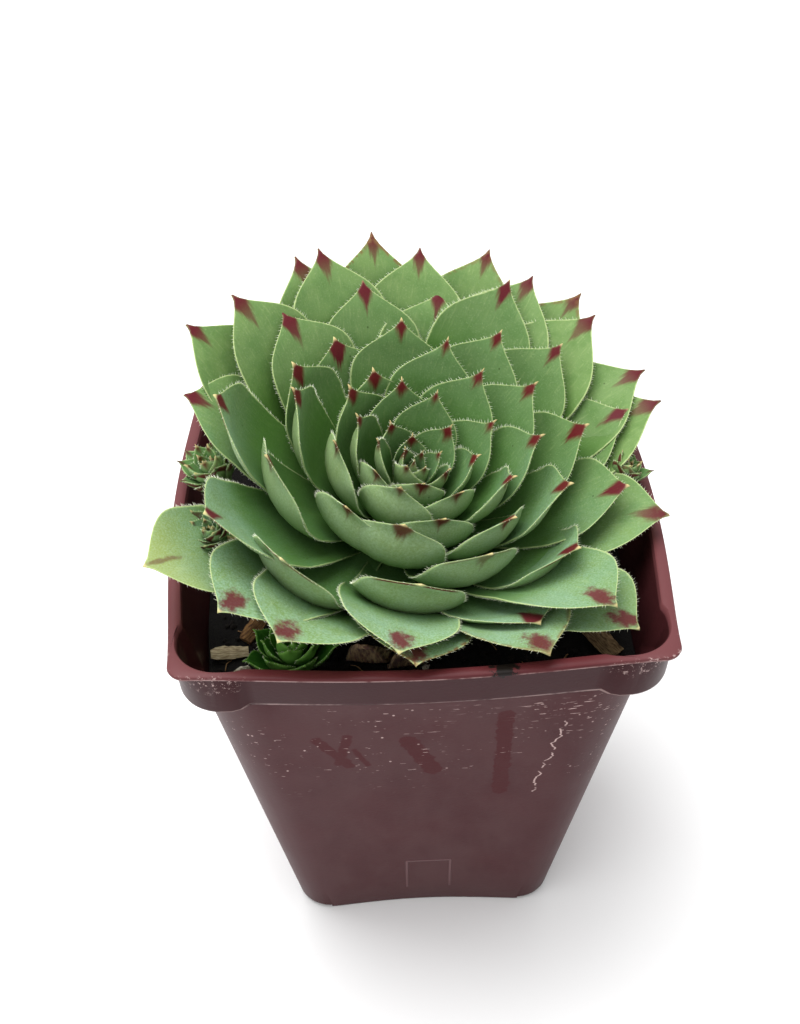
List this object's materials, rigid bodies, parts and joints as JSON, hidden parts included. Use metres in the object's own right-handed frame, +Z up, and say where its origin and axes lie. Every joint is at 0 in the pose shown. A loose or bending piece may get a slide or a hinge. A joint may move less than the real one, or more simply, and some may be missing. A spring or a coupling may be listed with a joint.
{
  "type": "potted hens and chicks succulent",
  "caption": "Hens and chicks succulent: a wide mother rosette of cupped, pointed leaves with young rosettes round it, rooted in soil in a square tapered nursery pot.",
  "frame": {"origin": "middle of the pot's underside, on the ground plane", "axes": "+Z up, -Y towards the front of the pot, +X to the right seen from the front"},
  "size_m": [0.0974, 0.0977, 0.1265],
  "materials": {
    "pot_plastic": "moulded, greyish maroon, faintly satin",
    "potting_soil": "crumbly, nearly black",
    "hen_leaf": "waxy, green with pale margins and maroon points",
    "chick_leaf": "waxy, fresh green with dark points",
    "wood_chip": "raw, weathered",
    "bark": "rough, fibrous",
    "perlite": "chalky white",
    "dry_leaf": "papery, tan"
  },
  "bodies": {
    "root": {"pot": "pot_plastic", "soil": "potting_soil", "hen_rosette": "hen_leaf", "chick_front": "chick_leaf", "chick_left": "chick_leaf", "wood_splinter": "wood_chip", "bark_left": "bark", "bark_right": "bark", "perlite_front": "perlite", "dry_leaves": "dry_leaf"}
  },
  "joints": []
}
